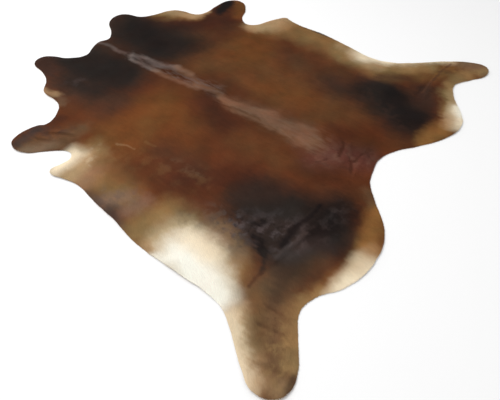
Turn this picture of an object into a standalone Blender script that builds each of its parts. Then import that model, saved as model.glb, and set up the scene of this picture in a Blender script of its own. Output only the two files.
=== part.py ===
"""Cowhide rug: one whole hide with its hair on, spread open on the floor, hair side up.

The spine runs along Y, with the neck at +Y and the tail at -Y. The near side is -X and the far
side +X. A skin is never quite even, so each side keeps its own landmarks. The hide is one sheet
of even thickness. Most of it lies flat on the floor, and low swells lift its cheeks, legs,
flanks and haunches.
"""

from math import cos, radians, sin

import bmesh
import bpy

# Driving sizes, in metres.
SKIN = 0.002            # tanned skin
COAT = 0.002            # short hair, lying flat on the skin
THICKNESS = SKIN + COAT
NET_PITCH = 0.040       # spacing of the sheet's inner points, fine enough for its swells
RIM_STEPS = 5           # straight steps along the rim between two landmarks
BLANK_HALF = 1.218      # the uncut sheet is a square, this far each way from the spine's middle
CUTTER_HALF = 0.050     # the outline's cutter stands well past both faces of the sheet
WELD_DISTANCE = 0.00005
SHORTEST_EDGE = 0.0005  # slivers where the net meets the rim are closed up to this length

COAT_BROWN = (0.110, 0.050, 0.025, 1.0)
COAT_ROUGHNESS = 0.65

# The rim, walked from the neck down the near side and back up the far side. A smooth curve runs
# through its landmarks. The columns are the landmark's name, x from the spine and y from
# mid-length, to the nearest 5 mm, as a skin is cut no closer than that.
LANDMARKS = (
    ("neck crest", 0.000, 0.935),
    ("near neck slope", -0.080, 0.910),
    ("near neck hollow", -0.140, 0.885),
    ("near cheek root", -0.225, 0.945),
    ("near cheek inner side", -0.280, 1.050),
    ("near cheek tip", -0.330, 1.075),
    ("near cheek outer side", -0.380, 1.050),
    ("near cheek outer root", -0.405, 0.950),
    ("near throat", -0.445, 0.865),
    ("near throat corner", -0.510, 0.805),
    ("near throat drop", -0.525, 0.765),
    ("near chest", -0.535, 0.660),
    ("near chest hollow", -0.575, 0.605),
    ("near foreleg notch", -0.685, 0.565),
    ("near foreleg front", -0.715, 0.590),
    ("near foreleg front end", -0.835, 0.600),
    ("near foreleg tip", -0.875, 0.570),
    ("near foreleg heel", -0.880, 0.500),
    ("near foreleg back", -0.775, 0.370),
    ("near armpit top", -0.745, 0.315),
    ("near armpit", -0.765, 0.280),
    ("near armpit floor", -0.820, 0.275),
    ("near elbow", -0.875, 0.285),
    ("near elbow tip", -0.890, 0.270),
    ("near elbow drop", -0.875, 0.190),
    ("near flank front", -0.865, 0.120),
    ("near flank", -0.890, -0.020),
    ("near flank middle", -0.915, -0.180),
    ("near flank step", -0.940, -0.300),
    ("near belly", -0.950, -0.540),
    ("near belly end", -0.960, -0.745),
    ("near hind leg front", -1.010, -0.835),
    ("near hind leg shin", -1.095, -0.940),
    ("near hind leg tip", -1.140, -1.030),
    ("near hind leg toe", -1.100, -1.105),
    ("near hind leg sole", -1.020, -1.110),
    ("near hind leg back", -0.905, -1.045),
    ("near hock hollow", -0.810, -0.995),
    ("near buttock front", -0.720, -1.020),
    ("near buttock shoulder", -0.640, -1.080),
    ("near buttock tip", -0.450, -1.120),
    ("near buttock back", -0.310, -1.085),
    ("near rump", -0.195, -0.990),
    ("near rump hollow", -0.105, -0.920),
    ("tail root", -0.030, -0.900),
    ("tail crest", 0.045, -0.890),
    ("far rump hollow", 0.135, -0.920),
    ("far rump", 0.240, -1.000),
    ("far buttock back", 0.350, -1.075),
    ("far buttock tip", 0.495, -1.120),
    ("far buttock shoulder", 0.610, -1.080),
    ("far buttock front", 0.725, -1.000),
    ("far hock hollow", 0.820, -0.975),
    ("far hind leg back", 0.905, -1.020),
    ("far hind leg sole", 1.030, -1.090),
    ("far hind leg toe", 1.085, -1.060),
    ("far hind leg tip", 1.085, -0.985),
    ("far hind leg shin", 1.030, -0.865),
    ("far hind leg front", 0.895, -0.710),
    ("far belly end", 0.825, -0.595),
    ("far belly", 0.805, -0.490),
    ("far flank step", 0.835, -0.330),
    ("far flank middle", 0.865, -0.130),
    ("far flank", 0.875, 0.060),
    ("far elbow drop", 0.890, 0.135),
    ("far elbow tip", 0.900, 0.165),
    ("far elbow", 0.865, 0.200),
    ("far elbow front", 0.790, 0.245),
    ("far armpit floor", 0.725, 0.275),
    ("far armpit", 0.695, 0.330),
    ("far armpit top", 0.725, 0.390),
    ("far foreleg back", 0.830, 0.440),
    ("far foreleg heel", 0.895, 0.500),
    ("far foreleg tip", 0.900, 0.560),
    ("far foreleg front end", 0.860, 0.615),
    ("far foreleg front", 0.780, 0.635),
    ("far chest hollow", 0.650, 0.640),
    ("far chest", 0.600, 0.680),
    ("far throat drop", 0.580, 0.775),
    ("far throat corner", 0.545, 0.840),
    ("far throat", 0.420, 0.905),
    ("far cheek outer root", 0.365, 0.955),
    ("far cheek outer side", 0.330, 1.045),
    ("far cheek tip", 0.275, 1.075),
    ("far cheek inner side", 0.200, 1.055),
    ("far cheek root", 0.120, 0.955),
    ("far neck hollow", 0.060, 0.915),
)

# Low swells, each a smooth oval mound that lifts both faces of the sheet alike. The columns are
# its middle, its reach along and across its own line, that line's turn from +X, and its rise.
# The two mounds of each haunch leave between them the shallow trough of an old packing fold.
SWELLS = (
    # name                     x       y      along  across  turn   rise
    ("near cheek",           -0.340,  1.080,  0.130, 0.190,    0, 0.006),
    ("far cheek",             0.290,  1.080,  0.150, 0.180,    0, 0.007),
    ("near throat",          -0.540,  0.740,  0.120, 0.160,    0, 0.005),
    ("far throat",            0.590,  0.790,  0.120, 0.150,    0, 0.005),
    ("near foreleg",         -0.880,  0.560,  0.240, 0.120,   10, 0.008),
    ("far foreleg",           0.920,  0.560,  0.260, 0.120,   12, 0.009),
    ("near elbow",           -0.900,  0.240,  0.130, 0.160,    0, 0.007),
    ("far elbow",             0.910,  0.160,  0.140, 0.150,    0, 0.007),
    ("near flank",           -0.930, -0.120,  0.120, 0.240,    8, 0.006),
    ("near belly",           -0.970, -0.560,  0.130, 0.220,    0, 0.008),
    ("far flank",             0.890, -0.120,  0.110, 0.260,    0, 0.006),
    ("near upper haunch",    -0.530, -0.690,  0.330, 0.115,   -3, 0.006),
    ("near lower haunch",    -0.520, -0.915,  0.340, 0.110,   -3, 0.006),
    ("far upper haunch",      0.760, -0.750,  0.280, 0.110,   -6, 0.005),
    ("far lower haunch",      0.760, -0.965,  0.270, 0.105,   -6, 0.005),
    ("near buttock",         -0.450, -1.150,  0.260, 0.120,    0, 0.006),
    ("far buttock",           0.490, -1.150,  0.240, 0.120,    0, 0.006),
    ("near hind leg",        -1.130, -1.070,  0.190, 0.150,   40, 0.009),
    ("far hind leg",          1.100, -1.040,  0.190, 0.150,  -50, 0.008),
    ("rump",                  0.020, -0.800,  0.200, 0.110,    0, 0.004),
)


def clear_scene():
    for item in list(bpy.data.objects):
        bpy.data.objects.remove(item, do_unlink=True)


def add_collection(name):
    group = bpy.data.collections.new(name)
    bpy.context.scene.collection.children.link(group)
    return group


def coat_material():
    """Short brown hair, soft and only a little glossy."""
    material = bpy.data.materials.new("coat")
    material.use_nodes = True
    shader = material.node_tree.nodes["Principled BSDF"]
    shader.inputs["Base Color"].default_value = COAT_BROWN
    shader.inputs["Roughness"].default_value = COAT_ROUGHNESS
    shader.inputs["Metallic"].default_value = 0.0
    return material


def outline_curve(group):
    """The rim as a closed flat curve through its landmarks, filled and given depth."""
    curve = bpy.data.curves.new("outline_curve", "CURVE")
    curve.dimensions = "2D"
    curve.fill_mode = "BOTH"
    curve.extrude = CUTTER_HALF
    curve.resolution_u = RIM_STEPS
    curve.render_resolution_u = 0
    spline = curve.splines.new("BEZIER")
    spline.bezier_points.add(len(LANDMARKS) - 1)
    for point, (_, x, y) in zip(spline.bezier_points, LANDMARKS):
        point.co = (x, y, 0.0)
        point.handle_left_type = "AUTO"
        point.handle_right_type = "AUTO"
    spline.use_cyclic_u = True
    outline = bpy.data.objects.new("outline_curve", curve)
    group.objects.link(outline)
    return outline


def evaluated_mesh(item):
    """The mesh of an object as its modifiers and curve settings leave it."""
    bpy.context.view_layer.update()
    evaluated = item.evaluated_get(bpy.context.evaluated_depsgraph_get())
    return bpy.data.meshes.new_from_object(evaluated)


def outline_cutter(group):
    """A closed prism of the outline, which the sheet is cut by."""
    outline = outline_curve(group)
    mesh = evaluated_mesh(outline)
    shape = bmesh.new()
    shape.from_mesh(mesh)
    bmesh.ops.remove_doubles(shape, verts=shape.verts, dist=WELD_DISTANCE)
    bmesh.ops.recalc_face_normals(shape, faces=shape.faces)
    shape.to_mesh(mesh)
    shape.free()
    cutter = bpy.data.objects.new("outline_cutter", mesh)
    cutter.matrix_world = outline.matrix_world
    cutter.hide_render = True
    cutter.display_type = "WIRE"
    group.objects.link(cutter)
    bpy.data.objects.remove(outline)
    return cutter


def blank_sheet(group):
    """The uncut sheet: a flat net of squares, given the hide's thickness downwards."""
    squares = round(2 * BLANK_HALF / NET_PITCH)
    net = bmesh.new()
    bmesh.ops.create_grid(
        net,
        x_segments=squares,
        y_segments=squares,
        size=BLANK_HALF,
    )
    bmesh.ops.translate(net, vec=(0.0, 0.0, THICKNESS), verts=net.verts)
    mesh = bpy.data.meshes.new("hide")
    net.to_mesh(mesh)
    net.free()
    sheet = bpy.data.objects.new("hide", mesh)
    group.objects.link(sheet)
    depth = sheet.modifiers.new("thickness", "SOLIDIFY")
    depth.thickness = THICKNESS
    depth.offset = -1.0
    return sheet


def cut_to_outline(sheet, cutter):
    """Keep what lies inside the outline, as plain triangles that can bend."""
    cut = sheet.modifiers.new("outline", "BOOLEAN")
    cut.operation = "INTERSECT"
    cut.object = cutter
    mesh = evaluated_mesh(sheet)
    shape = bmesh.new()
    shape.from_mesh(mesh)
    bmesh.ops.dissolve_degenerate(shape, edges=shape.edges, dist=SHORTEST_EDGE)
    bmesh.ops.triangulate(shape, faces=shape.faces)
    shape.to_mesh(mesh)
    shape.free()
    sheet.modifiers.clear()
    sheet.data = mesh


def swell_height(x, y):
    """How far the swells lift the sheet off the floor at one place."""
    height = 0.0
    for _, middle_x, middle_y, along, across, turn, rise in SWELLS:
        angle = radians(turn)
        run = (x - middle_x) * cos(angle) + (y - middle_y) * sin(angle)
        side = (y - middle_y) * cos(angle) - (x - middle_x) * sin(angle)
        reach = (run / along) ** 2 + (side / across) ** 2
        if reach < 1.0:
            height += rise * (1.0 - reach) ** 2
    return height


def raise_swells(mesh):
    for vertex in mesh.vertices:
        vertex.co.z += swell_height(vertex.co.x, vertex.co.y)


def centre_on_footprint(mesh):
    """Put the origin under the middle of the hide's box, as its legs spread unevenly."""
    for axis in (0, 1):
        values = [vertex.co[axis] for vertex in mesh.vertices]
        middle = (min(values) + max(values)) / 2
        for vertex in mesh.vertices:
            vertex.co[axis] -= middle


def build():
    clear_scene()
    rug = add_collection("cowhide_rug")
    cutters = add_collection("cutters")
    hide = blank_sheet(rug)
    cut_to_outline(hide, outline_cutter(cutters))
    raise_swells(hide.data)
    centre_on_footprint(hide.data)
    hide.data.materials.append(coat_material())


build()
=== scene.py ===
"""Cowhide rug: one whole hide lying open on a pale floor, hair side up.

Places in the tables are in the hide's own frame: x from the spine towards the far side and y from
mid-length towards the neck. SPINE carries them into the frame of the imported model, whose origin is
under the middle of the hide's box. They are in metres, and in the coat's strokes in millimetres.

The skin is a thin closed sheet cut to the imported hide's outline and lying on its swells. The coat
is short hair, laid over the skin as small locks that follow the lie of the hair.
"""

from math import cos, exp, pi, radians, sin

import bmesh
import bpy
from mathutils import Matrix, Vector, noise
from mathutils.bvhtree import BVHTree
from mathutils.kdtree import KDTree


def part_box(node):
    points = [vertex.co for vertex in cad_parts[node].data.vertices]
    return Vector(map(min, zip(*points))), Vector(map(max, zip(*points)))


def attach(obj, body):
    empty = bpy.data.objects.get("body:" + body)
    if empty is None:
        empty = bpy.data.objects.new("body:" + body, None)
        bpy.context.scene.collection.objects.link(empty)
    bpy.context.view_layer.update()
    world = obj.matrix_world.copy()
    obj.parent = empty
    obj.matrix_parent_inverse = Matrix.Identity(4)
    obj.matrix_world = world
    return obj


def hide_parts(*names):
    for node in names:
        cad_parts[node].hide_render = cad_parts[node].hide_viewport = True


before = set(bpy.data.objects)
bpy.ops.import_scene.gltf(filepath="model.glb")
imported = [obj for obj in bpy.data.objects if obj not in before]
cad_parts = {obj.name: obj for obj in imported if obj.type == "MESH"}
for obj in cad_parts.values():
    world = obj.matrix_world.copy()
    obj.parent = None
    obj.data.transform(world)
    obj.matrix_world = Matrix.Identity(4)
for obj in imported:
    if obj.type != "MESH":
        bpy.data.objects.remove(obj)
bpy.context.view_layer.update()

# ---- Sizes, in metres ------------------------------------------------------------------------

SPINE = Vector((0.0234, 0.0221, 0.0))   # where the spine crosses mid-length
CAD_THICKNESS = 0.004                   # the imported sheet: skin and flattened coat in one
SKIN_THICKNESS = 0.0022

NET_PITCH = 0.0105                      # one square of the net that the skin is cut from
NET_MARGIN = 0.02
CUTTER_HALF = 0.1                       # half the height of the outline's cutter
RIM_STRAY = 0.0022                      # how far the knife strays from the outline
RIM_WAVES = 22.0                        # its waves in each metre
STAR_RINGS = ((0.012, 6), (0.024, 10))  # radius and places of the rings that average a height
WELD = 0.00001
SHORTEST_EDGE = 0.0003

HAIR_LENGTH = 0.021
RIM_OVERHANG = 0.005                    # how far the hair reaches past the cut edge
LOCK_WIDTH = 0.0019
LOCKS_EACH = 192000                     # on each quarter of the hide


# ---- Small helpers ---------------------------------------------------------------------------

def new_object(name, data):
    item = bpy.data.objects.new(name, data)
    bpy.context.scene.collection.objects.link(item)
    return item


def finished_mesh(shape, name):
    mesh = bpy.data.meshes.new(name)
    shape.to_mesh(mesh)
    shape.free()
    return mesh


def evaluated_mesh(item):
    bpy.context.view_layer.update()
    evaluated = item.evaluated_get(bpy.context.evaluated_depsgraph_get())
    return bpy.data.meshes.new_from_object(evaluated)


def smooth_step(low, high, value):
    share = min(max((value - low) / (high - low), 0.0), 1.0)
    return share * share * (3.0 - 2.0 * share)


def from_line(x, y, start, end):
    """Distance from a straight line between two places, and the share of the way along it."""
    run_x, run_y = end[0] - start[0], end[1] - start[1]
    long = run_x * run_x + run_y * run_y
    share = ((x - start[0]) * run_x + (y - start[1]) * run_y) / long if long else 0.0
    share = min(max(share, 0.0), 1.0)
    gap_x = x - start[0] - share * run_x
    gap_y = y - start[1] - share * run_y
    return (gap_x * gap_x + gap_y * gap_y) ** 0.5, share


def nearness(x, y, middle_x, middle_y, reach):
    """1 at the middle of a round spot, fading away beyond its reach."""
    gap = ((x - middle_x) ** 2 + (y - middle_y) ** 2) ** 0.5
    return exp(-(gap / reach) ** 2)


# ---- The skin --------------------------------------------------------------------------------

def welded_cad():
    """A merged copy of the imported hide."""
    shape = bmesh.new()
    shape.from_mesh(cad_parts["hide"].data)
    bmesh.ops.remove_doubles(shape, verts=shape.verts, dist=WELD)
    shape.normal_update()
    return shape


def outline_cutter(cad):
    """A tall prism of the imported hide's outline, its corners eased as a knife would round them."""
    prism = cad.copy()
    for vertex in prism.verts:
        vertex.co.z = CUTTER_HALF if vertex.normal.z > 0.0 else -CUTTER_HALF
    prism.normal_update()
    level = [edge for edge in prism.edges if all(abs(face.normal.z) > 0.9 for face in edge.link_faces)]
    bmesh.ops.dissolve_limit(prism, angle_limit=0.001, verts=prism.verts, edges=level)
    rim = [edge for edge in prism.edges if abs(edge.verts[0].co.z - edge.verts[1].co.z) < CUTTER_HALF]
    bmesh.ops.subdivide_edges(prism, edges=rim, cuts=1, use_grid_fill=False)
    for _ in range(2):
        bmesh.ops.smooth_vert(prism, verts=prism.verts, factor=0.5, use_axis_x=True, use_axis_y=True)
    for vertex in prism.verts:
        place = Vector((vertex.co.x, vertex.co.y, 0.0)) * RIM_WAVES
        vertex.co.x += RIM_STRAY * noise.noise(place)
        vertex.co.y += RIM_STRAY * noise.noise(place + Vector((7.0, 3.0, 0.0)))
    cutter = new_object("outline_cutter", finished_mesh(prism, "outline_cutter"))
    cutter.hide_render = True
    return cutter


def flat_skin(cutter):
    """A flat net of small squares with the skin's thickness, cut to the outline."""
    low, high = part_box("hide")
    half = max(high.x, high.y, -low.x, -low.y) + NET_MARGIN
    squares = round(2 * half / NET_PITCH)
    net = bmesh.new()
    bmesh.ops.create_grid(net, x_segments=squares, y_segments=squares, size=half)
    bmesh.ops.translate(net, vec=(0.0, 0.0, SKIN_THICKNESS), verts=net.verts)
    sheet = new_object("net", finished_mesh(net, "net"))
    depth = sheet.modifiers.new("thickness", "SOLIDIFY")
    depth.thickness = SKIN_THICKNESS
    depth.offset = -1.0
    cut = sheet.modifiers.new("outline", "BOOLEAN")
    cut.operation = "INTERSECT"
    cut.object = cutter
    skin = evaluated_mesh(sheet)
    bpy.data.objects.remove(sheet)
    return skin


# Creases and ridges, each a soft line that is bowed sideways in its middle. The columns are its
# two ends, how far it bows, its half width and its rise, where a trough's rise is negative.
CREASES = (
    # name                       start             end               bow    width   rise
    ("near haunch fold",       (-0.690, -0.780), (-0.290, -0.810),  0.006,  0.014, -0.0030),
    ("near haunch fold lip",   (-0.690, -0.802), (-0.500, -0.836),  0.004,  0.016,  0.0014),
    ("near groin fold",        (-0.655, -0.680), (-0.765, -0.800), -0.010,  0.012, -0.0016),
    ("far haunch fold",        ( 0.620, -0.850), ( 1.020, -0.875),  0.006,  0.014, -0.0028),
    ("far haunch fold lip",    ( 0.640, -0.830), ( 1.000, -0.855),  0.006,  0.020,  0.0012),
    ("rump wrinkle 1",         ( 0.068, -0.703), (-0.040, -0.733),  0.006,  0.009, -0.0018),
    ("rump wrinkle 2",         (-0.035, -0.794), (-0.094, -0.822),  0.004,  0.009, -0.0018),
    ("rump wrinkle 3",         ( 0.094, -0.818), (-0.023, -0.810), -0.006,  0.009, -0.0018),
    ("rump wrinkle 4",         (-0.086, -0.695), (-0.130, -0.668),  0.004,  0.008, -0.0014),
    ("rump lip",               ( 0.060, -0.730), (-0.060, -0.760),  0.008,  0.010,  0.0020),
    ("near leg wrinkle 1",     (-0.866, -0.875), (-0.866, -0.957),  0.008,  0.010,  0.0016),
    ("near leg wrinkle 2",     (-0.942, -0.905), (-0.934, -1.021),  0.008,  0.010, -0.0014),
    ("near leg wrinkle 3",     (-0.925, -0.985), (-0.985, -1.055),  0.012,  0.010,  0.0018),
    ("near leg wrinkle 4",     (-1.045, -0.975), (-1.030, -1.040),  0.006,  0.008,  0.0012),
    ("far leg wrinkle 1",      ( 0.860, -0.900), ( 0.930, -0.980),  0.010,  0.010,  0.0018),
    ("far leg wrinkle 2",      ( 0.950, -0.930), ( 1.000, -1.020),  0.008,  0.010,  0.0016),
    ("near foreleg fold 1",    (-0.705,  0.505), (-0.650,  0.400),  0.006,  0.010,  0.0018),
    ("near foreleg fold 2",    (-0.760,  0.520), (-0.730,  0.440), -0.006,  0.009,  0.0014),
    ("spine ridge",            ( 0.000,  0.640), ( 0.010, -0.560),  0.020,  0.016,  0.0016),
)


def crease_rise(x, y):
    """How far the creases raise the skin at one place, or lower it."""
    total = 0.0
    for _, start, end, bow, width, rise in CREASES:
        run_x, run_y = end[0] - start[0], end[1] - start[1]
        long = (run_x * run_x + run_y * run_y) ** 0.5
        share = from_line(x, y, start, end)[1]
        shift = bow * sin(pi * share)
        gap, _ = from_line(x + shift * run_y / long, y - shift * run_x / long, start, end)
        if gap < 3.0 * width:
            total += rise * exp(-(gap / width) ** 2)
    return total


def unevenness(x, y):
    """A tanned skin never lies quite smooth."""
    broad = noise.noise(Vector((x * 4.0, y * 4.0, 2.0)))
    fine = noise.noise(Vector((x * 11.0, y * 11.0, 5.0)))
    return 0.0016 * max(broad + 0.1, 0.0) + 0.0007 * max(fine, 0.0)


def skin_lift(cad):
    """Makes the function that gives how far the skin stands off the floor at one place."""
    tree = BVHTree.FromBMesh(cad)
    star = [(0.0, 0.0)]
    for ring, count in STAR_RINGS:
        star += [(ring * cos(2 * pi * i / count), ring * sin(2 * pi * i / count)) for i in range(count)]

    def lift(x, y):
        hits = [tree.ray_cast(Vector((x + dx, y + dy, 1.0)), Vector((0.0, 0.0, -1.0)))[0] for dx, dy in star]
        heights = [hit.z - CAD_THICKNESS for hit in hits if hit is not None]
        packed = max(sum(heights) / len(heights), 0.0) if heights else 0.0
        own_x, own_y = x - SPINE.x, y - SPINE.y
        return max(packed + crease_rise(own_x, own_y) + unevenness(own_x, own_y), 0.0)

    return lift


def rim_distances(shape):
    """Each vertex's distance from the nearest point of the cut edge."""
    rim = {v.index for face in shape.faces if abs(face.normal.z) < 0.5 for v in face.verts}
    tree = KDTree(len(rim))
    for index in rim:
        place = shape.verts[index].co
        tree.insert((place.x, place.y, 0.0), index)
    tree.balance()
    return [tree.find((v.co.x, v.co.y, 0.0))[2] for v in shape.verts]


HAIR_SIDE, CUT_EDGE, FLESH_SIDE = range(3)


def build_skin():
    cad = welded_cad()
    cutter = outline_cutter(cad)
    mesh = flat_skin(cutter)
    bpy.data.objects.remove(cutter)
    shape = bmesh.new()
    shape.from_mesh(mesh)
    bmesh.ops.dissolve_degenerate(shape, edges=shape.edges, dist=SHORTEST_EDGE)
    shape.normal_update()
    shape.verts.ensure_lookup_table()
    shape.verts.index_update()
    rim_layer = shape.verts.layers.float.new("rim_distance")
    for vertex, distance in zip(shape.verts, rim_distances(shape)):
        vertex[rim_layer] = distance
    for face in shape.faces:
        face.smooth = True
        if abs(face.normal.z) < 0.5:
            face.material_index = CUT_EDGE
        else:
            face.material_index = HAIR_SIDE if face.normal.z > 0.0 else FLESH_SIDE
    lift = skin_lift(cad)
    known = {}
    for vertex in shape.verts:
        place = (round(vertex.co.x, 5), round(vertex.co.y, 5))
        if place not in known:
            known[place] = lift(vertex.co.x, vertex.co.y)
        vertex.co.z += known[place]
    cad.free()
    add_skin_map(shape)
    shape.to_mesh(mesh)
    shape.free()
    mesh.name = "hide_skin"
    return new_object("hide_skin", mesh)


def add_skin_map(shape):
    """The hair side fills the left half of the map and the flesh side the right half."""
    low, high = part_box("hide")
    size = high - low
    layer = shape.loops.layers.uv.new("OFBake")
    for face in shape.faces:
        start = 0.51 if face.material_index == FLESH_SIDE else 0.01
        for loop in face.loops:
            place = loop.vert.co
            across = start + 0.48 * (place.x - low.x) / size.x
            along = 0.01 + 0.98 * (place.y - low.y) / size.y
            loop[layer].uv = (across, along)


# ---- The lie of the hair ---------------------------------------------------------------------

SIDE_SPREAD = 0.75      # how far the hair leans out from the spine at the hide's sides
TURN_PULL = 1.6         # how strongly a leg or a cheek turns the hair
HAIR_WANDER = 0.35      # how far the hair strays either way, in radians

# Legs and cheeks turn the hair their own way. The columns are a place, the way that the hair
# runs there, in degrees from +X, and how far around this holds.
HAIR_TURNS = (
    # name                  x       y      way   reach
    ("near cheek",        -0.330,  1.000, -110,  0.160),
    ("far cheek",          0.280,  1.000,  -70,  0.160),
    ("near foreleg",      -0.780,  0.500,  165,  0.200),
    ("far foreleg",        0.820,  0.540,   10,  0.200),
    ("near elbow",        -0.820,  0.200, -150,  0.140),
    ("far elbow",          0.830,  0.180,  -30,  0.140),
    ("near belly",        -0.900, -0.520, -125,  0.200),
    ("near hind leg",     -1.020, -0.980, -135,  0.240),
    ("far hind leg",       0.980, -0.930,  -45,  0.240),
    ("near buttock",      -0.470, -1.020, -100,  0.180),
    ("far buttock",        0.500, -1.020,  -80,  0.180),
)

# Whorls, where the hair turns about a middle.
WHORLS = (
    # name                x       y      reach  turn
    ("near flank",      -0.610, -0.640,  0.075,  120),
    ("near haunch",     -0.560, -0.725,  0.060, -110),
    ("far flank",        0.600, -0.560,  0.070,  110),
    ("crown",            0.000,  0.700,  0.060,   80),
)


def hair_way(x, y):
    """The way that the hair runs at one place, as a flat direction."""
    spread = SIDE_SPREAD * smooth_step(0.0, 0.9, abs(x)) * (1.0 if x > 0.0 else -1.0)
    way = Vector((spread, -1.0))
    way.normalize()
    for _, middle_x, middle_y, degrees, reach in HAIR_TURNS:
        pull = TURN_PULL * nearness(x, y, middle_x, middle_y, reach)
        way += pull * Vector((cos(radians(degrees)), sin(radians(degrees))))
    turn = 0.0
    for _, middle_x, middle_y, reach, degrees in WHORLS:
        turn += radians(degrees) * nearness(x, y, middle_x, middle_y, reach)
    turn += HAIR_WANDER * noise.noise(Vector((x * 9.0, y * 9.0, 1.0)))
    way.rotate(Matrix.Rotation(turn, 2))
    return way.normalized()


def ruffle(x, y):
    """How far the hair is ruffled up, from 0 to 1: along the spine and on the rump."""
    middle = 0.012 * sin(6.0 * y) + 0.02
    reach = 0.030 + 0.015 * smooth_step(0.0, 0.5, -y)
    along = smooth_step(0.70, 0.62, y) * smooth_step(-0.62, -0.45, y)
    spine = exp(-((x - middle) / reach) ** 2) * along
    rump = exp(-((x - 0.02) / 0.14) ** 2 - ((y + 0.76) / 0.10) ** 2)
    return min(spine + 0.6 * rump, 1.0)


def add_hair_guides(mesh):
    """Per vertex: the way of the hair, its length and how ruffled it is."""
    for name, kind in (("hair_way", "FLOAT_VECTOR"), ("hair_length", "FLOAT"), ("ruffled", "FLOAT")):
        mesh.attributes.new(name, kind, "POINT")
    way = mesh.attributes["hair_way"]
    length = mesh.attributes["hair_length"]
    ruffled = mesh.attributes["ruffled"]
    rim = mesh.attributes["rim_distance"]
    for index, vertex in enumerate(mesh.vertices):
        x, y = vertex.co.x - SPINE.x, vertex.co.y - SPINE.y
        way.data[index].vector = (*hair_way(x, y), 0.0)
        length.data[index].value = min(HAIR_LENGTH, rim.data[index].value + RIM_OVERHANG)
        ruffled.data[index].value = ruffle(x, y)


# ---- Short ways to add nodes -----------------------------------------------------------------

def add_node(tree, kind, inputs=None, **settings):
    """A node with its settings, each input linked from a socket or set to a value."""
    node = tree.nodes.new(kind)
    for name, value in settings.items():
        setattr(node, name, value)
    for socket, value in (inputs or {}).items():
        if isinstance(value, bpy.types.NodeSocket):
            tree.links.new(value, node.inputs[socket])
        else:
            node.inputs[socket].default_value = value
    return node


def add_group(kind, name, inputs, outputs):
    """A node group, given the kind of each named input and output."""
    tree = bpy.data.node_groups.new(name, kind)
    for way, sockets in (("INPUT", inputs), ("OUTPUT", outputs)):
        for label, socket in sockets.items():
            tree.interface.new_socket(label, in_out=way, socket_type="NodeSocket" + socket)
    return tree, tree.nodes.new("NodeGroupInput").outputs, tree.nodes.new("NodeGroupOutput").inputs


def math(tree, operation, *values):
    """One step of arithmetic with the given values or sockets."""
    return add_node(tree, "ShaderNodeMath", dict(enumerate(values)), operation=operation).outputs[0]


def vector(tree, operation, *values, out=0):
    return add_node(tree, "ShaderNodeVectorMath", dict(enumerate(values)), operation=operation).outputs[out]


def scaled(tree, value, share):
    return add_node(tree, "ShaderNodeVectorMath", {0: value, "Scale": share}, operation="SCALE").outputs[0]


def mix(tree, kind, share, first, second):
    """From the first to the second: kind is FLOAT, VECTOR or RGBA."""
    a, result = {"FLOAT": (2, 0), "VECTOR": (4, 1), "RGBA": (6, 2)}[kind]
    made = {0: share, a: first, a + 1: second}
    return add_node(tree, "ShaderNodeMix", made, data_type=kind).outputs[result]


def cloud(tree, place, scale, detail, wander=0.0, out=0):
    """Soft noise around 0.5."""
    made = {"Vector": place, "Scale": scale, "Detail": detail, "Distortion": wander}
    return add_node(tree, "ShaderNodeTexNoise", made).outputs[out]


def ramp(tree, value, low, high, at_low=0.0, at_high=1.0, **settings):
    """Carries the range from low to high over to the one from at_low to at_high."""
    made = {"Value": value, "From Min": low, "From Max": high, "To Min": at_low, "To Max": at_high}
    return add_node(tree, "ShaderNodeMapRange", made, **settings).outputs[0]


# A clamped node takes up more of the shader's small stack, which the long row of strokes nearly
# fills, and a smooth ramp stays between its ends without a clamp.
SMOOTH = {"interpolation_type": "SMOOTHSTEP", "clamp": False}


# ---- Locks of hair ---------------------------------------------------------------------------

# Each lock's own turns, in radians: the ruffled ones come on top of the smooth ones.
SMOOTH_YAW, RUFFLED_YAW = 0.16, 0.9
LEAST_PITCH, SMOOTH_PITCH, RUFFLED_PITCH = 0.010, 0.045, 0.35
MOST_ROLL = 0.12
# and what its length and its width are multiplied by
LENGTH_RANGE = (0.7, 1.15)
WIDTH_RANGE = (0.7, 1.3)


def lock_mesh():
    """One lock, 1 long and 1 wide: a flat sliver whose tip points along +Y."""
    lock = bmesh.new()
    bmesh.ops.create_circle(lock, cap_ends=True, segments=3, radius=1.0)
    root = min(vertex.co.y for vertex in lock.verts)
    bmesh.ops.translate(lock, verts=lock.verts, vec=(0.0, -root, 0.0))
    wide = 2.0 * max(vertex.co.x for vertex in lock.verts)
    bmesh.ops.scale(lock, verts=lock.verts, vec=(1.0 / wide, 1.0 / (1.0 - root), 1.0))
    for face in lock.faces:
        face.smooth = True
        if face.normal.z < 0.0:
            face.normal_flip()
    return finished_mesh(lock, "lock")


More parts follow.
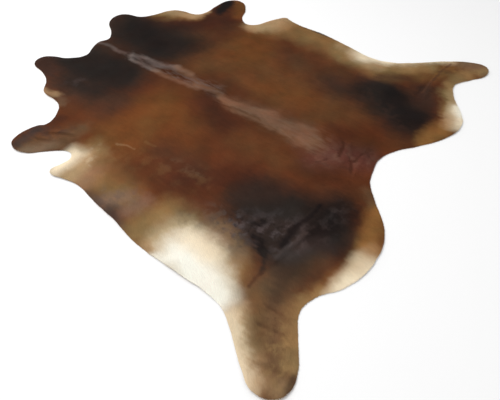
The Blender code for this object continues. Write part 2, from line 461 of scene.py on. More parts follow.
def combing_tree(lock):
    """Geometry nodes that lay locks over a surface, each along the way of the hair."""
    tree, given, result = add_group(
        "GeometryNodeTree",
        "combing",
        {"Surface": "Geometry", "Density": "Float", "Seed": "Int"},
        {"Locks": "Geometry"},
    )

    def named(name, data_type):
        node = add_node(tree, "GeometryNodeInputNamedAttribute", {"Name": name}, data_type=data_type)
        return node.outputs["Attribute"]

    def random(low, high, offset):
        seed = math(tree, "ADD", given["Seed"], float(offset))
        node = add_node(tree, "FunctionNodeRandomValue", {2: low, 3: high, "Seed": seed}, data_type="FLOAT")
        return node.outputs[1]

    def stored(geometry, name, value, data_type, domain):
        made = {"Geometry": geometry, "Name": name, "Value": value}
        node = add_node(tree, "GeometryNodeStoreNamedAttribute", made, data_type=data_type, domain=domain)
        return node.outputs[0]

    spread = add_node(
        tree,
        "GeometryNodeDistributePointsOnFaces",
        {"Mesh": given["Surface"], "Density": given["Density"], "Seed": given["Seed"]},
        distribute_method="RANDOM",
    ).outputs
    ruffled = named("ruffled", "FLOAT")
    combed = add_node(
        tree,
        "FunctionNodeAxesToRotation",
        {"Primary Axis": spread["Normal"], "Secondary Axis": named("hair_way", "FLOAT_VECTOR")},
        primary_axis="Z",
        secondary_axis="Y",
    ).outputs[0]
    # the more ruffled a lock is, the wilder and the steeper it stands
    wildest = math(tree, "MULTIPLY_ADD", ruffled, RUFFLED_YAW, SMOOTH_YAW)
    yaw = math(tree, "MULTIPLY", random(-1.0, 1.0, 11), wildest)
    steepest = math(tree, "MULTIPLY_ADD", ruffled, RUFFLED_PITCH, SMOOTH_PITCH)
    pitch = math(tree, "MULTIPLY_ADD", random(0.0, 1.0, 12), steepest, LEAST_PITCH)
    roll = random(-MOST_ROLL, MOST_ROLL, 13)
    turns = add_node(tree, "ShaderNodeCombineXYZ", {0: pitch, 1: roll, 2: yaw}).outputs[0]
    own = add_node(tree, "FunctionNodeEulerToRotation", {0: turns}).outputs[0]
    way = add_node(
        tree, "FunctionNodeRotateRotation", {"Rotation": combed, "Rotate By": own}, rotation_space="LOCAL"
    ).outputs[0]
    long = math(tree, "MULTIPLY", named("hair_length", "FLOAT"), random(*LENGTH_RANGE, 14))
    wide = math(tree, "MULTIPLY", random(*WIDTH_RANGE, 15), LOCK_WIDTH)
    size = add_node(tree, "ShaderNodeCombineXYZ", {0: wide, 1: long, 2: 1.0}).outputs[0]
    shape = add_node(tree, "GeometryNodeObjectInfo", {"Object": lock}).outputs["Geometry"]
    placed = add_node(
        tree,
        "GeometryNodeInstanceOnPoints",
        {"Points": spread["Points"], "Instance": shape, "Rotation": way, "Scale": size},
    ).outputs[0]
    toned = stored(placed, "lock_tone", random(0.0, 1.0, 16), "FLOAT", "INSTANCE")
    lit = stored(toned, "skin_up", spread["Normal"], "FLOAT_VECTOR", "INSTANCE")
    real = add_node(tree, "GeometryNodeRealizeInstances", {"Geometry": lit}).outputs[0]
    # a map from above, so that the coat's pattern crosses from lock to lock
    box = add_node(tree, "GeometryNodeBoundBox", {"Geometry": real}).outputs
    place = add_node(tree, "GeometryNodeInputPosition").outputs[0]
    extent = vector(tree, "SUBTRACT", box["Max"], box["Min"])
    spot = vector(tree, "DIVIDE", vector(tree, "SUBTRACT", place, box["Min"]), extent)
    tree.links.new(stored(real, "OFBake", spot, "FLOAT2", "CORNER"), result["Locks"])
    return tree


def part_of(mesh, name, keep):
    """A copy of some of the skin's hair side."""
    shape = bmesh.new()
    shape.from_mesh(mesh)
    lost = [
        face for face in shape.faces
        if face.material_index != HAIR_SIDE or not keep(face.calc_center_median())
    ]
    bmesh.ops.delete(shape, geom=lost, context="FACES")
    return finished_mesh(shape, name)


def comb(surface, name, tree, density, seed):
    """The locks on one surface, as an object of plain faces."""
    holder = new_object(name, surface)
    modifier = holder.modifiers.new("combing", "NODES")
    modifier.node_group = tree
    for item in tree.interface.items_tree:
        if item.name == "Density":
            modifier[item.identifier] = density
        if item.name == "Seed":
            modifier[item.identifier] = seed
    mesh = evaluated_mesh(holder)
    bpy.data.objects.remove(holder)
    mesh.name = name
    return new_object(name, mesh)


# The coat's four pieces: which places of the skin each covers, and its seed.
QUARTERS = (
    ("fur_near_head", lambda p: p.x <= SPINE.x and p.y > SPINE.y, 3),
    ("fur_far_head", lambda p: p.x > SPINE.x and p.y > SPINE.y, 5),
    ("fur_near_tail", lambda p: p.x <= SPINE.x and p.y <= SPINE.y, 7),
    ("fur_far_tail", lambda p: p.x > SPINE.x and p.y <= SPINE.y, 9),
)


def build_fur(skin):
    lock = new_object("lock", lock_mesh())
    tree = combing_tree(lock)
    pieces = []
    for name, keep, seed in QUARTERS:
        surface = part_of(skin.data, name, keep)
        add_hair_guides(surface)
        area = sum(face.area for face in surface.polygons)
        pieces.append(comb(surface, name, tree, LOCKS_EACH / area, seed))
    bpy.data.objects.remove(lock)
    return pieces


# ---- The coat's colours ----------------------------------------------------------------------

# The colours of the hair, as red, green and blue out of 255.
COLOURS = {
    "black":        (29, 22, 21),
    "black brown":  (41, 33, 29),
    "umber":        (60, 41, 33),
    "brown":        (77, 49, 35),
    "chestnut":     (71, 39, 26),
    "rust":         (94, 52, 29),
    "warm brown":   (103, 66, 38),
    "orange brown": (111, 68, 34),
    "mauve":        (100, 58, 48),
    "slate":        (69, 58, 55),
    # painted sheen, for light reflected from black hair
    "sheen blue grey":    (87, 77, 77),
    "bronze":       (113, 81, 46),
    "taupe":        (110, 83, 58),
    "amber":        (135, 95, 52),
    "grey tan":     (127, 101, 79),
    "golden":       (136, 103, 64),
    "olive tan":    (152, 123, 81),
    "pink grey":    (141, 110, 91),
    "ash":          (131, 115, 109),
    "rose tan":     (149, 108, 83),
    "tan":          (181, 148, 109),
    "sand":         (209, 187, 152),
    "cream":        (249, 231, 199),
    "ivory":        (255, 251, 236),
}

# How a stroke is laid: how far its edge wanders, in metres, and the pattern in which it shows.
TOUCHES = {
    "soft":    (0.060, None),
    "fine":    (0.025, None),
    "ragged":  (0.100, None),
    "wisps":   (0.090, "Wisps"),
    # lines: the painted shade of fine wrinkles
    "lines":   (0.030, "Lines"),
    "specks":  (0.060, "Specks"),
    "strands": (0.060, "Strands"),
}

# How far slow clouds shift the strokes from their straight lines, in metres.
STROKE_DRIFT = (0.09, 0.09, 0.0)

# What the coat's patches multiply its red, green and blue by.
COOL_TINT = (0.93, 1.02, 1.04)
WARM_TINT = (1.08, 0.98, 0.94)

# The coat as soft airbrush strokes, laid one over the other. The columns are a name, a colour,
# the stroke's start and its end, each with the stroke's reach there, in millimetres, then its
# softness and its strength, in hundredths, and its touch where that isn't soft.
STROKES = (
    # name                   colour             x      y reach     x      y reach soft strength
    # the back and the ribs
    ("far side",             "warm brown",    340,   300, 360,   340,  -420, 360,  60,  90),
    ("near shoulder glow",   "orange brown", -530,   200, 260,  -230,   170, 250,  95, 100),
    ("near ribs",            "orange brown", -300,    80, 200,  -340,   -60, 160, 100,  45),
    ("far shoulder glow",    "orange brown",  420,   120, 240,   660,   240, 200,  90,  90),
    ("far shoulder shade",   "chestnut",      330,   420, 150,   560,   370, 140, 100,  65),
    ("far loin",             "chestnut",      110,   120, 110,   100,   -80, 100, 100,  50),
    ("near loin",            "chestnut",      -70,    30, 160,  -150,  -150, 150, 100,  90),
    ("near flank shadow",    "chestnut",     -570,  -220, 150,  -420,  -460, 170, 100,  85),
    ("near stifle",          "brown",        -720,  -370, 130,  -620,  -480, 130, 100,  85),
    ("near loin glow",       "warm brown",   -210,  -270, 110,  -200,  -530, 110, 100,  60),
    ("far flank shadow",     "brown",         540,   -80, 150,   500,  -330, 170, 100,  50),
    ("far loin glow",        "orange brown",  220,  -150, 150,   240,  -380, 150, 100,  60),
    ("near flank veil",      "golden",       -600,    80, 110,  -540,  -300, 130, 100,  16, "wisps"),
    ("near flank scar 1",    "tan",          -585,   175,  12,  -556,    95,   8, 100,  22, "fine"),
    ("near flank scar 2",    "golden",       -480,    80,  16,  -470,    10,  12, 100,  22, "fine"),
    ("near flank mottle",    "grey tan",     -520,  -110,  60,  -500,  -250,  60, 100,  30, "wisps"),
    ("near side shadow",     "brown",        -490,   -40, 110,  -480,  -200, 110, 100,  50),
    # neck, cheeks and chest
    ("near shoulder brown",  "brown",        -430,   800, 150,  -370,   420, 160,  90, 100),
    ("near neck",            "black brown",  -190,   960, 300,  -170,   590, 290,  75, 100),
    ("near neck heart",      "black",        -220,   820, 180,  -150,   620, 180, 100,  40),
    ("near neck side",       "black brown",  -360,   760, 130,  -350,   590, 140, 100,  80),
    ("near neck mottle",     "slate",        -360,   760,  60,  -330,   700,  60, 100,  60, "wisps"),
    ("near cheek",           "umber",        -350,  1070, 130,  -390,   930, 100,  90,  95),
    ("far chest",            "chestnut",      450,   640, 190,   640,   480, 180,  90, 100),
    ("far neck",             "black brown",   220,   980, 330,   210,   580, 330,  75, 100),
    ("far neck heart",       "black",         290,   860, 180,   190,   640, 180, 100,  70),
    ("far cheek",            "umber",         170,  1010, 120,   270,  1070, 120, 100,  75),
    ("near throat under",    "grey tan",     -500,   700,  45,  -535,   630,  40, 100,  35),
    ("near throat",          "tan",          -520,   800,  48,  -500,   715,  40, 100,  55),
    ("far throat gold",      "golden",        485,   860, 120,   575,   665,  90,  90, 100),
    ("far throat pale",      "tan",           525,   835,  75,   560,   710,  60, 100,  90),
    ("far throat red",       "rust",          420,   855,  40,   445,   830,  40, 100,  60),
    ("far chest edge",       "tan",           570,   680,  65,   690,   640,  40,  90, 100),
    # forelegs
    ("near foreleg",         "taupe",        -860,   500, 130,  -660,   440, 110, 100,  50),
    ("near foreleg tip",     "grey tan",     -870,   490,  65,  -770,   415,  60, 100, 100),
    ("near foreleg front",   "slate",        -860,   560,  55,  -730,   570,  60, 100,  75),
    ("near foreleg brow",    "umber",        -720,   582,  60,  -615,   540,  45, 100,  55),
    ("near foreleg brown",   "umber",        -720,   500,  80,  -640,   450,  80, 100,  30, "wisps"),
    ("near foreleg mottle",  "slate",        -740,   560,  90,  -670,   440,  90, 100,  38, "wisps"),
    ("near foreleg root",    "taupe",        -745,   380,  70,  -600,   400,  85, 100,  60),
    ("far foreleg back",     "orange brown",  900,   530,  80,   760,   430,  75,  90, 100),
    ("far foreleg front",    "black",         735,   570,  85,   855,   598,  58,  80, 100),
    # elbows
    ("near elbow fade",      "golden",       -790,    90, 185,  -790,   -80, 160, 100,  80),
    ("near elbow tan",       "tan",          -840,   180, 170,  -720,   220, 130, 100, 100),
    ("near elbow rose",      "rose tan",     -850,   110,  80,  -740,   120,  80, 100,  55),
    ("near elbow gold",      "golden",       -700,   140,  80,  -660,   200,  65, 100,  65),
    ("near armpit",          "cream",        -865,   262,  66,  -735,   290,  88, 100, 100, "fine"),
    ("near armpit streaks",  "cream",        -740,   200,  60,  -660,   260,  50, 100,  25, "wisps"),
    ("near armpit gold",     "golden",       -690,   300,  75,  -610,   270,  60, 100,  60),
    ("far elbow gold",       "golden",        760,   160, 170,   830,    40, 150, 100, 100),
    ("far elbow tan",        "tan",           705,   265, 110,   870,   140, 170,  85, 100),
    # flanks
    ("near flank grey",      "pink grey",    -870,   -40,  90,  -790,  -100,  70, 100,  65),
    ("near flank dusk",      "slate",        -870,  -100,  60,  -905,  -215,  55, 100,  65),
    ("near flank curls",     "brown",        -860,   -60, 100,  -780,  -120,  90, 100,  40, "wisps"),
    ("near flank light",     "ash",          -840,   -20,  80,  -760,  -100,  80, 100,  22, "wisps"),
    ("near flank gold",      "golden",       -870,  -260, 130,  -740,  -280, 110, 100,  90),
    ("near flank pale",      "pink grey",    -840,  -170,  70,  -760,  -190,  70, 100,  60),
    ("near flank edge",      "slate",        -880,    60,  40,  -915,  -190,  45, 100,  55),
    ("far flank gold",       "golden",        830,     0, 190,   810,  -280, 220,  90, 100),
    ("far flank edge",       "slate",         885,    40,  22,   868,  -240,  22, 100,  90),
    # belly
    ("near belly olive",     "olive tan",    -850,  -410, 238,  -860,  -580, 240,  95, 100),
    ("near belly corner",    "olive tan",    -850,  -580, 245, -1020,  -800, 150,  95, 100),
    ("near belly sand",      "sand",         -845,  -445, 180,  -900,  -600, 182,  95, 100),
    ("near belly low",       "sand",         -900,  -600, 166, -1040,  -795, 103,  95, 100),
    ("near belly ivory",     "ivory",        -865,  -500, 155,  -982,  -718, 155,  85, 100),
    ("near belly brow",      "ivory",        -965,  -430,  65,  -930,  -470,  50, 100,  70),
    ("near belly veil",      "tan",          -830,  -400,  90,  -780,  -480,  80, 100,  18, "wisps"),
    ("far belly olive",      "olive tan",     800,  -360, 190,   775,  -570, 200,  90, 100),
    ("far flank pale",       "tan",           820,  -270,  55,   800,  -380,  65, 100,  60),
    ("far belly cream",      "cream",         815,  -440, 130,   835,  -580, 125,  95, 100, "fine"),
    # haunches
    ("far haunch fade",      "umber",         450,  -440, 200,   480,  -600, 230, 100,  90),
    ("far haunch",           "black brown",   530,  -660, 200,   420,  -870, 240,  75, 100),
    ("far haunch heart",     "black",         550,  -740, 130,   400,  -910, 150,  90,  80),
    ("far haunch back",      "umber",         580,  -900, 130,   670,  -850, 120,  90,  90),
    ("far haunch streaks",   "umber",         460,  -620, 130,   330,  -860, 120, 100,  60, "wisps"),
    ("near haunch",          "black brown",  -480,  -600, 205,  -450,  -865, 262,  72, 100),
    ("near haunch brow",     "umber",        -500,  -500, 120,  -380,  -580, 120, 100,  55),
    ("near haunch front",    "umber",        -630,  -660, 130,  -680,  -840, 150, 100, 100),
    ("near stifle mottle",   "slate",        -700,  -420, 110,  -600,  -520, 110, 100,  38, "wisps"),
    ("near stifle wisps",    "grey tan",     -720,  -400,  90,  -640,  -480,  90, 100,  30, "wisps"),
    ("near groin",           "grey tan",     -705,  -520, 110,  -755,  -660,  95, 100,  80),
    ("near groin light",     "cream",        -785,  -475, 100,  -800,  -595,  92, 100,  75),
    ("near groin mottle",    "umber",        -650,  -500,  80,  -690,  -640,  75, 100,  40, "wisps"),
    ("near haunch middle",   "black brown",  -600,  -660, 130,  -640,  -870, 170,  90,  90),
    ("near haunch heart",    "black",        -500,  -870, 150,  -330,  -900, 150, 100,  90),
    ("near haunch low",      "taupe",        -720,  -900, 110,  -600,  -960,  90, 100,  30),
    ("near haunch wash",     "slate",        -640,  -850,  80,  -520,  -925,  80, 100,  45),
    # painted sheen: the slate and blue grey mottles over the near haunch's black hair stand for light
    # reflected from its whorls
    ("near haunch sheen",    "slate",        -620,  -620, 130,  -540,  -740, 150, 100,  36),
    ("near haunch sheen wisps",    "sheen blue grey",    -640,  -600, 150,  -560,  -760, 150, 100,  75, "wisps"),
    ("near haunch specks",   "black",        -625,  -590, 100,  -560,  -740, 120,  90,  50, "specks"),
    ("near haunch spot",     "black",        -590,  -650,  30,  -570,  -670,  30, 100,  80, "ragged"),
    ("near haunch bar",      "black",        -655,  -680,  34,  -692,  -755,  34, 100,  85, "ragged"),
    ("near haunch streaks",  "slate",        -520,  -880, 110,  -330,  -900,  90, 100,  42, "wisps"),
    # hind legs
    ("far thigh",            "bronze",        770,  -600, 180,  1020,  -960, 200,  70, 100),
    ("far thigh gold",       "olive tan",     765,  -600,  85,   895,  -800,  80, 100,  90),
    ("far belly gold",       "tan",           735,  -500,  75,   745,  -560,  70, 100,  80),
    ("far thigh edge",       "sand",          845,  -600,  85,  1050,  -860,  80, 100, 100),
    ("far belly edge",       "cream",         780,  -455,  65,   815,  -585,  55, 100, 100, "fine"),
    ("far foot",             "grey tan",     1060, -1050, 130,  1060,  -960, 100, 100,  80),
    ("far thigh red",        "brown",         665,  -600,  60,   740,  -740,  80, 100,  70),
    ("far thigh streaks",    "brown",         850,  -830, 100,  1000,  -980,  90, 100,  45, "wisps"),
    ("far foot tip",         "olive tan",    1050, -1075,  65,  1005, -1050,  50, 100,  75),
    ("far thigh low",        "olive tan",     720,  -965,  70,   960, -1000,  80, 100,  70),
    ("near thigh",           "taupe",        -840,  -880, 170, -1040, -1020, 220,  90, 100),
    ("near thigh edge",      "tan",          -970,  -812,  92, -1125,  -970, 110, 100, 100),
    ("near thigh rim",       "cream",        -975,  -800,  52, -1135,  -985,  75, 100,  64),
    ("near foot pale",       "tan",         -1110, -1010,  60, -1090, -1080,  55, 100,  45),
    ("near thigh gold",      "bronze",       -860,  -850,  60, -1000,  -950,  60, 100,  35),
    ("near thigh root",      "umber",        -730,  -865,  80,  -825,  -890,  65, 100,  60),
    ("near thigh wisps",     "olive tan",    -940, -1010, 110, -1040, -1060, 100, 100,  60, "wisps"),
    # painted shade: dark lines along the near hind leg's wrinkles
    ("near thigh wrinkle shadows",  "umber",        -900,  -900, 110,  -990, -1010,  90, 100,  20, "lines"),
    ("near leg wrinkle",     "brown",        -942,  -905,  14,  -934, -1020,  12, 100,  35, "fine"),
    ("near leg low wrinkle shadow", "brown",        -866,  -880,  14,  -866,  -955,  14, 100,  30, "fine"),
    ("near thigh back",      "olive tan",    -810,  -980,  75, -1000, -1085,  70, 100,  70),
    ("near thigh specks",    "brown",        -900,  -960,  80, -1000, -1030,  70, 100,  30, "specks"),
    ("near foot",            "umber",       -1075, -1125,  32, -1045, -1110,  28, 100,  55),
    # buttocks
    ("near buttock gold",    "golden",       -700, -1045,  72,  -440, -1095,  85, 100, 100),
    ("near hock gold",       "olive tan",    -725, -1025,  85,  -790, -1000,  65, 100,  90),
    ("near buttock amber",   "amber",        -430, -1090,  88,  -235, -1025,  80, 100, 100),
    ("near rump edge",       "taupe",        -210,  -975,  50,  -165,  -930,  50, 100,  50),
    ("near buttock cream",   "cream",        -690, -1085,  75,  -510, -1100,  90,  95, 100, "fine"),
    ("near buttock glow",    "tan",          -520, -1080,  75,  -430, -1105,  55, 100,  45, "fine"),
    ("far buttock amber",    "amber",         290, -1010,  75,   480, -1070,  85,  95, 100),
    ("far hock gold",        "olive tan",     580, -1040,  85,   800,  -970,  65, 100, 100),
    ("far buttock cream",    "cream",         520, -1115,  95,   645, -1065,  85, 100, 100, "fine"),
    ("far buttock ivory",    "ivory",         590, -1105,  62,   660, -1072,  58, 100,  85, "fine"),
    ("far buttock glow",     "tan",           490, -1065,  60,   545, -1050,  55, 100,  55),
    ("far hock pale",        "tan",           670, -1015,  50,   755,  -985,  50, 100,  65),
    # rump
    ("near rump",            "chestnut",     -180,  -660, 110,  -200,  -830, 120, 100,  45),
    ("rump mauve",           "mauve",         -70,  -640, 160,    10,  -820, 155,  90, 100),
    ("far rump",             "chestnut",      120,  -600,  60,   130,  -700,  70, 100,  55),
    ("rump wisps",           "pink grey",     -70,  -640, 120,    10,  -820, 120, 100,  22, "wisps"),
    # painted shade: thin dark lines where the rump's fine wrinkles and hair partings lie in shadow
    ("rump wrinkle shadows",        "umber",         -50,  -680, 130,    30,  -840, 120,  90,  45, "lines"),
    ("rump bridge",          "pink grey",     -50,  -560, 100,   -60,  -690, 100, 100,  10),
    # painted shadow in the troughs of the four rump wrinkles
    ("rump wrinkle 1",       "chestnut",       68,  -703,  12,   -40,  -733,  16, 100,  60, "fine"),
    ("rump wrinkle 2",       "chestnut",      -35,  -794,  16,   -94,  -822,  16, 100,  50, "fine"),
    ("rump wrinkle 3",       "chestnut",       94,  -818,  14,   -23,  -810,  16, 100,  50, "fine"),
    ("rump wrinkle 4",       "chestnut",      -86,  -695,  14,  -130,  -668,  14, 100,  45, "fine"),
    # the pale ruffled line along the spine
    ("spine glow",           "warm brown",      0,   -80,  80,   -20,  -560, 150, 100,  70),
    ("spine halo",           "pink grey",      10,  -100,  90,    10,  -500, 140, 100,  24),
    ("neck strand",          "ash",             0,   940,  26,     6,   710,  24, 100,  38, "fine"),
    ("crown strand",         "ash",           -22,   645,  28,     4,   668,  28, 100,  60, "fine"),
    ("near strand top",      "ash",           -26,   640,  28,   -26,   430,  28, 100,  58, "fine"),
    ("near strand low",      "rose tan",      -28,   440,  30,   -18,   150,  34, 100,  45, "fine"),
    ("far strand top",       "ash",            12,   655,  30,    40,   580,  34, 100,  70, "fine"),
    ("far strand neck",      "ash",            40,   580,  38,    22,   450,  42, 100,  78, "fine"),
    ("far strand shoulder",  "ash",            26,   440,  38,    66,   370,  38, 100,  72, "fine"),
    ("far strand middle",    "rose tan",       66,   370,  38,    60,   260,  42, 100,  68, "fine"),
    ("far strand low",       "rose tan",       56,   260,  42,    20,   150,  44, 100,  62, "fine"),
    ("spine join",           "rose tan",       12,   160,  44,    14,    40,  34, 100,  75, "fine"),
    ("spine middle",         "rose tan",        2,     0,  40,     0,  -100,  34,  90,  85, "fine"),
    ("spine back",           "rose tan",        0,  -100,  36,     5,  -300,  66,  75,  90, "fine"),
    ("spine loin",           "rose tan",        5,  -300,  66,   -15,  -530,  98,  80,  64, "fine"),
    ("near loin strand",     "rose tan",      -50,  -120,  22,   -60,  -360,  28, 100,  35, "fine"),
    ("upper strands",        "ash",            10,   660,  60,    30,    60,  80, 100,  50, "strands"),
    ("lower strands",        "pink grey",       0,     0,  70,   -15,  -580, 140, 100,  40, "strands"),
    # the folds' shadows
    ("near haunch fold",     "black",        -620,  -784,  26,  -345,  -805,  20,  90, 100, "fine"),
    ("near haunch fold lip", "slate",        -680,  -800,  24,  -510,  -834,  22, 100,  55, "fine"),
    ("near haunch fold end", "black brown",  -690,  -755,  20,  -765,  -800,  18, 100,  70, "fine"),
    ("near groin fold",      "brown",        -765,  -799,  18,  -842,  -788,  14, 100,  60, "fine"),
    ("far haunch fold",      "brown",         650,  -856,  16,  1015,  -886,  12, 100,  60, "fine"),
)


def linear(colour):
    """A colour out of 255 as light."""
    parts = [value / 255 for value in colour]
    lit = [v / 12.92 if v <= 0.04045 else ((v + 0.055) / 1.055) ** 2.4 for v in parts]
    return (*lit, 1.0)


def stroke_group():
    """One soft stroke over the colour under it."""
    tree, given, result = add_group(
        "ShaderNodeTree",
        "coat_stroke",
        {
            "Place": "Vector", "Grain": "Float", "Raggedness": "Float", "Pattern": "Float",
            "Under": "Color", "Over": "Color", "Start": "Vector", "Start Reach": "Float",
            "End": "Vector", "End Reach": "Float", "Softness": "Float", "Strength": "Float",
        },
        {"Color": "Color"},
    )
    run = vector(tree, "SUBTRACT", given["End"], given["Start"])
    gap = vector(tree, "SUBTRACT", given["Place"], given["Start"])
    long = math(tree, "MAXIMUM", vector(tree, "DOT_PRODUCT", run, run, out="Value"), 1e-6)
    share = math(tree, "DIVIDE", vector(tree, "DOT_PRODUCT", gap, run, out="Value"), long)
    share = math(tree, "MINIMUM", math(tree, "MAXIMUM", share, 0.0), 1.0)
    off = vector(tree, "SUBTRACT", gap, scaled(tree, run, share))
    far = vector(tree, "LENGTH", off, out="Value")
    reach = mix(tree, "FLOAT", share, given["Start Reach"], given["End Reach"])
    rough = math(tree, "ADD", far, math(tree, "MULTIPLY", given["Grain"], given["Raggedness"]))
    inner = math(tree, "MULTIPLY", reach, math(tree, "SUBTRACT", 1.0, given["Softness"]))
    mask = ramp(tree, rough, inner, reach, 1.0, 0.0, **SMOOTH)
    shown = math(tree, "MULTIPLY", math(tree, "MULTIPLY", mask, given["Strength"]), given["Pattern"])
    tree.links.new(mix(tree, "RGBA", shown, given["Under"], given["Over"]), result["Color"])
    return tree


def pattern_group():
    """Patterns in which a stroke may show, each from 0 to 1, and the grain of its edge."""
    labels = ("Grain", "Streaks", "Wisps", "Lines", "Specks", "Strands")
    tree, given, result = add_group(
        "ShaderNodeTree", "coat_patterns", {"Place": "Vector"}, {label: "Float" for label in labels}
    )

    def clouds(scale, detail, wander=0.0, stretch=1.0):
        spot = vector(tree, "MULTIPLY", given["Place"], (stretch, 1.0, 1.0))
        return cloud(tree, spot, scale, detail, wander)

    def band(value, low, high):
        return ramp(tree, value, low, high, **SMOOTH)

    streaks = clouds(14.0, 3.0, stretch=4.3)
    both = math(tree, "ADD", streaks, clouds(24.0, 3.0))
    grain = math(tree, "SUBTRACT", math(tree, "MULTIPLY", both, 0.5), 0.5)
    wisps = band(clouds(20.0, 5.0, 0.15), 0.44, 0.64)
    # thin lines, the mask in which dark strokes paint the shade of fine wrinkles
    ridge = math(tree, "ABSOLUTE", math(tree, "SUBTRACT", clouds(8.0, 3.0, 0.3), 0.5))
    lines = math(tree, "SUBTRACT", 1.0, band(ridge, 0.0, 0.040))
    lines = math(tree, "MULTIPLY", lines, band(clouds(15.0, 2.0), 0.46, 0.62))
    specks = band(clouds(44.0, 3.0, 0.3), 0.50, 0.68)
    strands = band(clouds(13.0, 4.0, 0.3, stretch=4.5), 0.40, 0.62)
    for label, value in zip(labels, (grain, streaks, wisps, lines, specks, strands)):
        tree.links.new(value, result[label])
    return tree


def coat_group():
    """The colour of the coat at one place on the hide."""
    stroke = stroke_group()
    patterns = pattern_group()
    tree, given, result = add_group(
        "ShaderNodeTree", "coat_colour", {"Place": "Vector"}, {"Color": "Color", "Streaks": "Float"}
    )
    own = vector(tree, "MULTIPLY", vector(tree, "SUBTRACT", given["Place"], tuple(SPINE)), (1.0, 1.0, 0.0))
    drift = vector(tree, "SUBTRACT", cloud(tree, own, 5.0, 5.0, out="Color"), (0.5, 0.5, 0.5))
    moved = vector(tree, "MULTIPLY_ADD", drift, STROKE_DRIFT, own)
    pattern = add_node(tree, "ShaderNodeGroup", {"Place": own}, node_tree=patterns).outputs
    colour = add_node(tree, "ShaderNodeRGB").outputs[0]
    colour.default_value = linear(COLOURS["rust"])
    for name, paint, x, y, reach, end_x, end_y, end_reach, softness, strength, *touch in STROKES:
        raggedness, shown_in = TOUCHES[touch[0] if touch else "soft"]
        made = {
            "Place": moved,
            "Grain": pattern["Grain"],
            "Under": colour,
            "Pattern": pattern[shown_in] if shown_in else 1.0,
            "Raggedness": raggedness,
            "Over": linear(COLOURS[paint]),
            "Start": (x / 1000, y / 1000, 0.0),
            "Start Reach": reach / 1000,
            "End": (end_x / 1000, end_y / 1000, 0.0),
            "End Reach": end_reach / 1000,
            "Softness": softness / 100,
            "Strength": strength / 100,
        }
        colour = add_node(tree, "ShaderNodeGroup", made, node_tree=stroke, label=name).outputs["Color"]
    # darker and lighter, warmer and cooler in patches, and less so where the hair is pale
    both = math(tree, "MULTIPLY_ADD", pattern["Streaks"], 0.4, cloud(tree, own, 8.0, 5.0))
    shade = ramp(tree, both, 0.45, 0.95, 0.80, 1.20)
    warmth = ramp(tree, cloud(tree, moved, 6.5, 4.0), 0.38, 0.62)
    change = scaled(tree, mix(tree, "VECTOR", warmth, COOL_TINT, WARM_TINT), shade)
    light = add_node(tree, "ShaderNodeRGBToBW", {0: colour}).outputs[0]
    eased = mix(tree, "VECTOR", ramp(tree, light, 0.10, 0.55, 0.0, 0.85), change, (1.0, 1.0, 1.0))
    tree.links.new(vector(tree, "MULTIPLY", colour, eased), result["Color"])
    tree.links.new(pattern["Streaks"], result["Streaks"])
    return tree


# ---- Materials -------------------------------------------------------------------------------

SKIN_SHARE = 0.75       # how much of a lock's shading follows the skin that it lies on
NAP_DEPTH = 0.0006      # of the bare skin's fine nap, in metres


def new_material(name, constants):
    """A material with some of its shader's constants set, its tree and the shader's inputs."""
    material = bpy.data.materials.new(name)
    material.use_nodes = True
    tree = material.node_tree
    inputs = tree.nodes["Principled BSDF"].inputs
    for label, value in constants.items():
        inputs[label].default_value = value
    return material, tree, inputs


def coat_material(name, coat, is_lock):
    material, tree, shader = new_material(name, {"Specular IOR Level": 0.05})
    place = add_node(tree, "ShaderNodeTexCoord").outputs["Object"]
    pattern = add_node(tree, "ShaderNodeGroup", {"Place": place}, node_tree=coat).outputs
    colour = pattern["Color"]
    if is_lock:
        tone = add_node(tree, "ShaderNodeAttribute", attribute_name="lock_tone").outputs["Fac"]
        colour = scaled(tree, colour, ramp(tree, tone, 0.0, 1.0, 0.91, 1.09))
        own_up = add_node(tree, "ShaderNodeNewGeometry").outputs["Normal"]
        skin_up = add_node(tree, "ShaderNodeAttribute", attribute_name="skin_up").outputs["Vector"]
        level = vector(tree, "NORMALIZE", mix(tree, "VECTOR", SKIN_SHARE, own_up, skin_up))
        tree.links.new(level, shader["Normal"])
    tree.links.new(ramp(tree, pattern["Streaks"], 0.0, 1.0, 0.52, 0.72), shader["Roughness"])
    tree.links.new(colour, shader["Base Color"])
    return material


def leather_group():
    """Bare skin: two tones in clouds and a fine nap."""
    tree, given, result = add_group(
        "ShaderNodeTree",
        "bare_skin",
        {"Place": "Vector", "Light Tone": "Color", "Dark Tone": "Color", "Nap Scale": "Float"},
        {"Color": "Color", "Nap": "Float"},
    )
    clouds = cloud(tree, given["Place"], 7.0, 5.0)
    nap = cloud(tree, given["Place"], given["Nap Scale"], 3.0)
    share = ramp(tree, math(tree, "ADD", clouds, nap), 0.75, 1.25)
    tree.links.new(mix(tree, "RGBA", share, given["Dark Tone"], given["Light Tone"]), result["Color"])
    tree.links.new(nap, result["Nap"])
    return tree


# The bare leathers: a name, the light tone and the dark tone out of 255, the scale of the nap and
# the roughness.
LEATHERS = (
    ("cut edge", (172, 140, 108), (124, 92, 68), 500.0, 0.80),
    ("suede", (206, 184, 158), (172, 145, 118), 260.0, 0.92),
)


def leather_material(bare_skin, name, light_tone, dark_tone, nap_scale, roughness):
    constants = {"Roughness": roughness, "Specular IOR Level": 0.15}
    material, tree, shader = new_material(name, constants)
    place = add_node(tree, "ShaderNodeTexCoord").outputs["Object"]
    made = {
        "Place": place,
        "Light Tone": linear(light_tone),
        "Dark Tone": linear(dark_tone),
        "Nap Scale": nap_scale,
    }
    skin = add_node(tree, "ShaderNodeGroup", made, node_tree=bare_skin).outputs
    rough = {"Height": skin["Nap"], "Strength": 0.35, "Distance": NAP_DEPTH}
    tree.links.new(add_node(tree, "ShaderNodeBump", rough).outputs[0], shader["Normal"])
    tree.links.new(skin["Color"], shader["Base Color"])
    return material


# ---- The studio ------------------------------------------------------------------------------

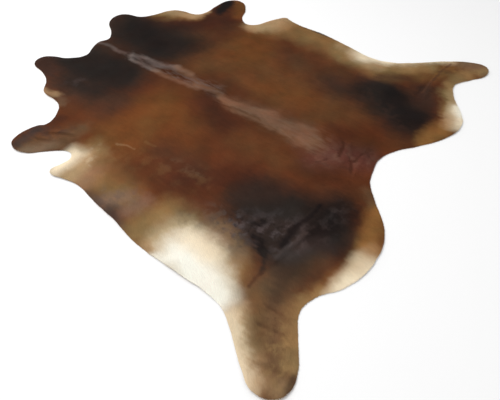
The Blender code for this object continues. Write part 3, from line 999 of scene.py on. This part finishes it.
CAMERA_PLACE = (-1.5109, -1.2731, 1.484)
CAMERA_DOWN = 49.2275           # degrees below level
CAMERA_TURN = 54.37             # degrees from +Y towards +X
CAMERA_LENS = 32.976            # millimetres
SENSOR_WIDTH = 36.0             # millimetres

FLOOR_HALF = 12.0
FLOOR_DROP = 0.0005             # the floor lies just under the suede, not in one plane with it
FLOOR_COLOUR = (246, 246, 246)
SKY_STRENGTH = 0.67
SOFT_BOX_PLACE = (-1.2, 1.6, 4.5)
SOFT_BOX_SIZE = 3.5
SOFT_BOX_POWER = 155.0


def add_camera():
    data = bpy.data.cameras.new("camera")
    data.lens = CAMERA_LENS
    data.sensor_width = SENSOR_WIDTH
    camera = new_object("camera", data)
    camera.location = CAMERA_PLACE
    camera.rotation_euler = (radians(90.0 - CAMERA_DOWN), 0.0, radians(-CAMERA_TURN))
    bpy.context.scene.camera = camera


def add_floor():
    floor = bmesh.new()
    bmesh.ops.create_grid(floor, x_segments=1, y_segments=1, size=FLOOR_HALF)
    plane = new_object("floor", finished_mesh(floor, "floor"))
    plane.location.z = -FLOOR_DROP
    paint, _, _ = new_material("floor", {"Base Color": linear(FLOOR_COLOUR), "Roughness": 0.9})
    plane.data.materials.append(paint)


def add_light():
    """An even white sky, and one large soft box that points at the hide's middle."""
    world = bpy.data.worlds.new("studio")
    world.use_nodes = True
    sky = world.node_tree.nodes["Background"].inputs
    sky["Color"].default_value = (1.0, 1.0, 1.0, 1.0)
    sky["Strength"].default_value = SKY_STRENGTH
    bpy.context.scene.world = world
    data = bpy.data.lights.new("soft box", "AREA")
    data.shape = "SQUARE"
    data.size = SOFT_BOX_SIZE
    data.energy = SOFT_BOX_POWER
    lamp = new_object("soft box", data)
    lamp.location = SOFT_BOX_PLACE
    lamp.rotation_euler = (-Vector(SOFT_BOX_PLACE)).to_track_quat("-Z", "Y").to_euler()
    bpy.context.scene.view_settings.view_transform = "Standard"


# ---- The rug ---------------------------------------------------------------------------------

def build_rug():
    skin = build_skin()
    coat = coat_group()
    skin.data.materials.append(coat_material("coat", coat, False))
    bare_skin = leather_group()
    for leather in LEATHERS:
        skin.data.materials.append(leather_material(bare_skin, *leather))
    fur = build_fur(skin)
    hair = coat_material("hair", coat, True)
    for piece in fur:
        piece.data.materials.clear()
        piece.data.materials.append(hair)
        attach(piece, "root")
    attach(skin, "root")
    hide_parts("hide")


add_camera()
add_floor()
add_light()
build_rug()
